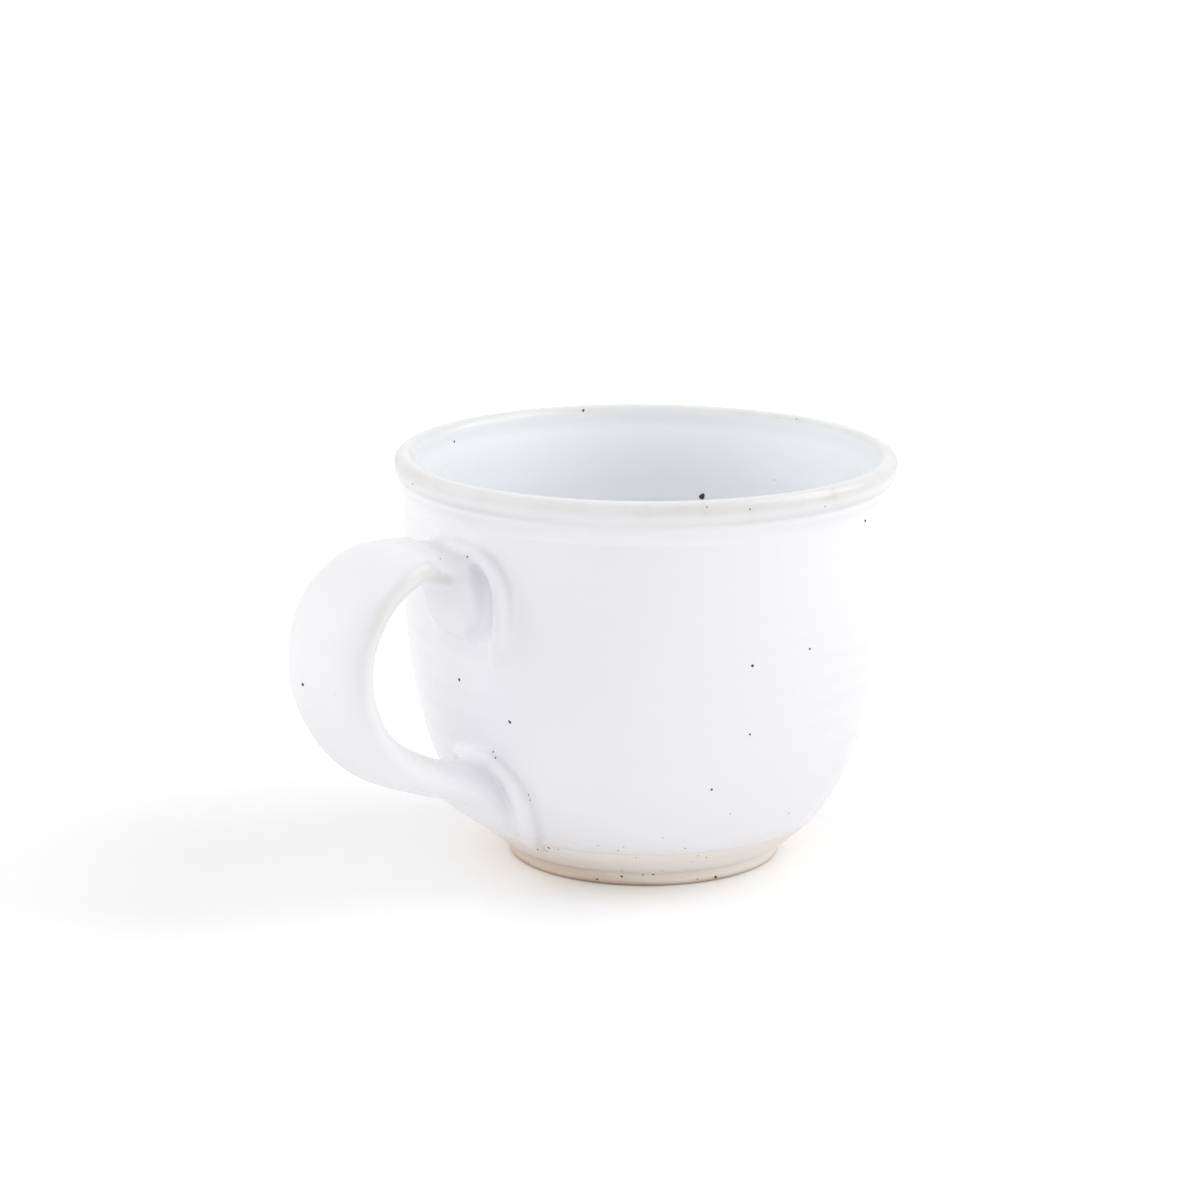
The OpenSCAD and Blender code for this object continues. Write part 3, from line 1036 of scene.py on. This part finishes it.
class Shader(Nodes):
    """A material with one glossy or matt surface."""

    def __init__(self, name):
        self.material = bpy.data.materials.new(name)
        super().__init__(self.material)
        self.surface = self.add("ShaderNodeBsdfPrincipled")
        self.add("ShaderNodeOutputMaterial", Surface=self.surface)
        self.object_place = self.add("ShaderNodeTexCoord").outputs["Object"]

    def noise(self, scale, detail=3.0, roughness=0.5, place=None):
        """Noise with its features about 1/scale metres apart."""
        return self.add("ShaderNodeTexNoise", Scale=scale, Detail=detail, Roughness=roughness,
                        Vector=place or self.object_place).outputs["Fac"]

    def attribute(self, name):
        return self.add("ShaderNodeAttribute", {"attribute_name": name}).outputs["Fac"]

    def height(self):
        """Height above the table, in millimetres."""
        z = self.add("ShaderNodeSeparateXYZ", Vector=self.object_place).outputs["Z"]
        return self.times(z, 1/MM)

    def stretched(self, along, across):
        """Object coordinates scaled apart, for lines that run round the mug."""
        return self.add("ShaderNodeMapping", Vector=self.object_place, Scale=(across, across, along))

    def spots(self, scale, share, size):
        """Round spots in some cells of a pattern: 1 in a spot and 0 elsewhere."""
        cells = self.add("ShaderNodeTexVoronoi", Vector=self.object_place, Scale=scale)
        chance = self.add("ShaderNodeSeparateColor", Color=cells.outputs["Color"])
        chosen = self.math("LESS_THAN", chance, share)
        return self.times(chosen, self.ramp(cells.outputs["Distance"], size, size*0.5))

    def bump(self, *layers):
        """Bumps laid over each other, given as pairs of a pattern and its depth in millimetres."""
        normal = None
        for pattern, depth in layers:
            node = self.add("ShaderNodeBump", Height=pattern, Strength=1.0, Distance=depth*MM)
            if normal:
                self.put(node.inputs["Normal"], normal)
            normal = node.outputs[0]
        self.put(self.surface.inputs["Normal"], normal)

    def set(self, **inputs):
        for key, value in inputs.items():
            self.put(self.surface.inputs[key.replace("_", " ")], value)
        return self.material


glaze_white = (0.842, 0.838, 0.868)
# A lighter, cooler copy of the glaze colour: painted light for the inside of the cup
glaze_painted_inside_light = (0.885, 0.90, 0.92)
# Worn glaze on the lip and the strap's edges, partly painted shade in the lip's groove and on the strap's
# upper edges
glaze_lip = (0.69, 0.685, 0.67)
glaze_lip_warm = (0.64, 0.61, 0.57)
clay_under = (0.71, 0.61, 0.53)
pinhole_brown = (0.45, 0.37, 0.30)


def glaze_material():
    """Cool white satin glaze that turns buff where it lies thin and greyish where it ran off the lip, with
    painted shade in the lip's groove and on the strap's upper edges, a painted highlight on the crown and a
    lighter, cooler painted light inside the cup.
    """
    s = Shader("white_glaze")
    fleck = s.math("SUBTRACT", s.noise(420, 4, 0.6), 0.5)
    cover = s.attribute("cover")
    thinness = s.math("SUBTRACT", 1.0, cover)
    cover = s.plus(cover, s.times(s.times(fleck, thinness), 1.1))
    # Painted light: the inside of the cup takes the lighter, cooler copy of the glaze colour
    white = s.mix(s.attribute("well"), glaze_white, glaze_painted_inside_light)
    colour = s.mix(s.ramp(cover, 0.0, 1.0, smooth=False), clay_under, white)
    worn_and_shaded = s.mix(s.ramp(s.noise(210, 4, 0.6), 0.5, 0.72), glaze_lip, glaze_lip_warm)
    # The worn colour is partly painted shade, in the lip's groove and on the strap's upper edges
    colour = s.mix(s.attribute("lip"), colour, worn_and_shaded)
    pinholes = s.spots(520, 0.008, 0.16)
    colour = s.mix(s.times(pinholes, 0.3), colour, pinhole_brown)
    s.bump((s.noise(90, 2), 0.045), (s.noise(900, 3), 0.004))
    s.set(Base_Color=colour, Roughness=s.ramp(cover, 0.5, 0.95, 0.7, 0.24), IOR=1.5)
    return s.set(Coat_Weight=0.2, Coat_Roughness=0.08)


clay_buff = (0.76, 0.67, 0.59)
clay_pale = (0.82, 0.75, 0.68)
# Toast colour, also used as painted shade on the foot ring
clay_toast_and_shade = (0.56, 0.42, 0.30)
clay_milky_wash_and_light = (0.88, 0.835, 0.80)
# Toasted standing edge, partly painted contact shade
clay_edge_toast_and_shade = (0.46, 0.32, 0.20)
clay_iron = (0.11, 0.07, 0.045)


def clay_material():
    """Bare fired stoneware: sandy buff, toasted and darkened with painted shade low on the foot, lighter with
    painted light on the lamp side, with fine iron specks.
    """
    s = Shader("bare_clay")
    lines = s.noise(160, 4, 0.6, s.stretched(9, 0.35))
    grain = s.noise(1500, 4, 0.7)
    colour = s.mix(s.ramp(lines, 0.32, 0.68), clay_buff, clay_pale)
    colour = s.mix(s.ramp(grain, 0.45, 0.8, 0, 0.3), colour, clay_toast_and_shade)
    # Painted light: on the lamp side the toasted ring and the milky wash start lower, so the foot is lighter
    # there
    painted_light_way = (-math.cos(painted_light_turn), -math.sin(painted_light_turn), 0)
    side = s.add("ShaderNodeVectorMath", {"operation": "DOT_PRODUCT"}, i0=s.object_place, i1=painted_light_way)
    drop = s.ramp(side.outputs["Value"], 0, foot_r*MM, 0, painted_light_drop, smooth=False)
    height = s.plus(s.height(), drop)
    # The toasted ring above the foot is partly painted shade in the groove and on the ring
    ring = s.ramp(s.plus(height, s.times(s.noise(60, 3), 1.6)), 4.6, 3.0)
    colour = s.mix(s.times(ring, 0.35), colour, clay_toast_and_shade)
    # The dark standing edge is partly toast and partly painted contact shade
    edge = s.ramp(s.plus(s.height(), s.times(s.noise(90, 3), 1.2)), 1.9, 0.7)
    colour = s.mix(s.times(edge, 0.9), colour, clay_edge_toast_and_shade)
    wash = s.plus(height, s.times(s.noise(70, 3), 1.4))
    wash = s.ramp(wash, 2.9, 8.6, 0, 0.8, smooth=False)
    colour = s.mix(s.times(wash, s.ramp(grain, 0.25, 0.6, 0.7, 1)), colour, clay_milky_wash_and_light)
    iron = s.spots(900, 0.05, 0.22)
    colour = s.mix(s.times(iron, 0.7), colour, clay_iron)
    s.bump((lines, 0.05), (grain, 0.05), (s.noise(420, 3), 0.06))
    return s.set(Base_Color=colour, Roughness=s.ramp(grain, 0.3, 0.7, 0.72, 0.9), IOR=1.45)


slip_dark, slip_pale = (0.50, 0.41, 0.33), (0.60, 0.51, 0.42)
iron_black, iron_brown = (0.016, 0.011, 0.009), (0.075, 0.042, 0.024)


def slip_material():
    """Fired joining slip, a little darker and finer than the clay."""
    s = Shader("slip")
    colour = s.mix(s.ramp(s.noise(600, 4, 0.6), 0.35, 0.65), slip_dark, slip_pale)
    s.bump((s.noise(1200, 3), 0.05))
    return s.set(Base_Color=colour, Roughness=0.85)


def speck_material():
    """Melted iron, nearly black with a brown rim of colour."""
    s = Shader("iron")
    colour = s.mix(s.ramp(s.noise(2600, 2), 0.35, 0.7), iron_black, iron_brown)
    s.bump((s.noise(3000, 2), 0.02))
    return s.set(Base_Color=colour, Roughness=0.35)


paper_white = (0.96, 0.96, 0.96)
seen_white = (0.97, 0.97, 0.97)
shadow_reach = 0.25
shadow_lift = 0.05


def floor_material():
    """White paper that takes the mug's shadow and is pure white to the camera further off."""
    s = Shader("white_paper")
    rays = s.add("ShaderNodeLightPath").outputs["Is Camera Ray"]
    reach = s.add("ShaderNodeVectorMath", {"operation": "LENGTH"}, i0=s.object_place).outputs["Value"]
    far = s.times(rays, s.ramp(reach, shadow_reach, 2*shadow_reach, shadow_lift, 1))
    s.set(Base_Color=s.mix(rays, paper_white, seen_white), Roughness=0.9, Specular_IOR_Level=0.0)
    s.set(Emission_Color=(1, 1, 1), Emission_Strength=far)
    return s.material


# Light and surroundings

floor_radii = (120, 400, 1200, 3600)
floor_sides = 96


def make_floor():
    turn = circle(floor_sides)
    points = np.vstack([at_turn(r, turn, 0) for r in floor_radii] + [[0, 0, 0]])
    count = len(floor_radii)
    faces = ring_quads(count, floor_sides, turned=True)
    faces += ring_fan(0, floor_sides, hub=count*floor_sides, turned=True)
    floor = make_mesh("paper_floor", points, faces)
    floor.data.materials.append(floor_material())


def make_world(strength):
    """White surroundings, seen as pure white, that light the mug softly."""
    world = bpy.data.worlds.new("white_studio")
    bpy.context.scene.world = world
    nodes = Nodes(world)
    rays = nodes.add("ShaderNodeLightPath").outputs
    seen = nodes.math("MAXIMUM", rays["Is Camera Ray"], rays["Is Glossy Ray"])
    seen = nodes.math("MAXIMUM", seen, rays["Is Transmission Ray"])
    level = nodes.ramp(seen, 0.0, 1.0, strength, 1.0, smooth=False)
    background = nodes.add("ShaderNodeBackground", Color=(1, 1, 1), Strength=level)
    nodes.add("ShaderNodeOutputWorld", Surface=background)


def make_lamp(name, side, up, distance, size, power, mirrored=False):
    """A soft square lamp. Side is its angle from the camera to image right and up its height, in degrees."""
    way = Vector(direction(view_turn + math.radians(side), math.radians(up)))
    lamp = bpy.data.objects.new(name, bpy.data.lights.new(name, "AREA"))
    bpy.context.scene.collection.objects.link(lamp)
    lamp.data.size, lamp.data.energy = size, power
    lamp.visible_glossy = mirrored
    lamp.location = way*distance + Vector((0, 0, cup_h*MM/2))
    lamp.rotation_mode = "QUATERNION"
    lamp.rotation_quaternion = way.to_track_quat("Z", "Y")


# The mug and its studio

def put_on(piece, material, slot, *nodes):
    """Gives a piece its material, hides the CAD nodes it stands for and lets it ride on the mug. Its slot is
    not used.
    """
    piece.data.materials.append(material)
    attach(piece, "root")
    if nodes:
        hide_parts(*nodes)


make_camera()
glaze, clay, slip = glaze_material(), clay_material(), slip_material()
glaze_coat = make_glaze_coat()
thrown_clay = make_thrown_clay()
trimmed_foot = make_trimmed_foot()
pulled_strap = make_mesh("pulled_strap", *tube_mesh(strap_points(0, strap_core_share)))
upper_slip, lower_slip = make_slip_joint("upper"), make_slip_joint("lower")
iron_specks = make_iron_specks([glaze_coat, thrown_clay, trimmed_foot])
put_on(glaze_coat, glaze, "white_glaze", "inner_glaze", "outer_glaze", "handle_glaze")
put_on(thrown_clay, clay, "bare_clay", "cup_body")
put_on(trimmed_foot, clay, "bare_clay", "foot_ring")
put_on(pulled_strap, clay, "bare_clay", "handle_strap")
put_on(iron_specks, speck_material(), "bare_clay")
put_on(upper_slip, slip, "slip", "upper_slip_joint")
put_on(lower_slip, slip, "slip", "lower_slip_joint")

make_floor()
make_world(strength=0.62)
make_lamp("key_lamp", side=95, up=40, distance=1.1, size=0.9, power=5.3, mirrored=True)
make_lamp("low_lamp", side=75, up=10, distance=1.2, size=0.8, power=1.8)
make_lamp("left_lamp", side=-100, up=30, distance=1.2, size=0.8, power=5.1)
make_lamp("front_lamp", side=-15, up=18, distance=1.3, size=0.9, power=2.6)

bpy.context.scene.view_settings.view_transform = "Standard"
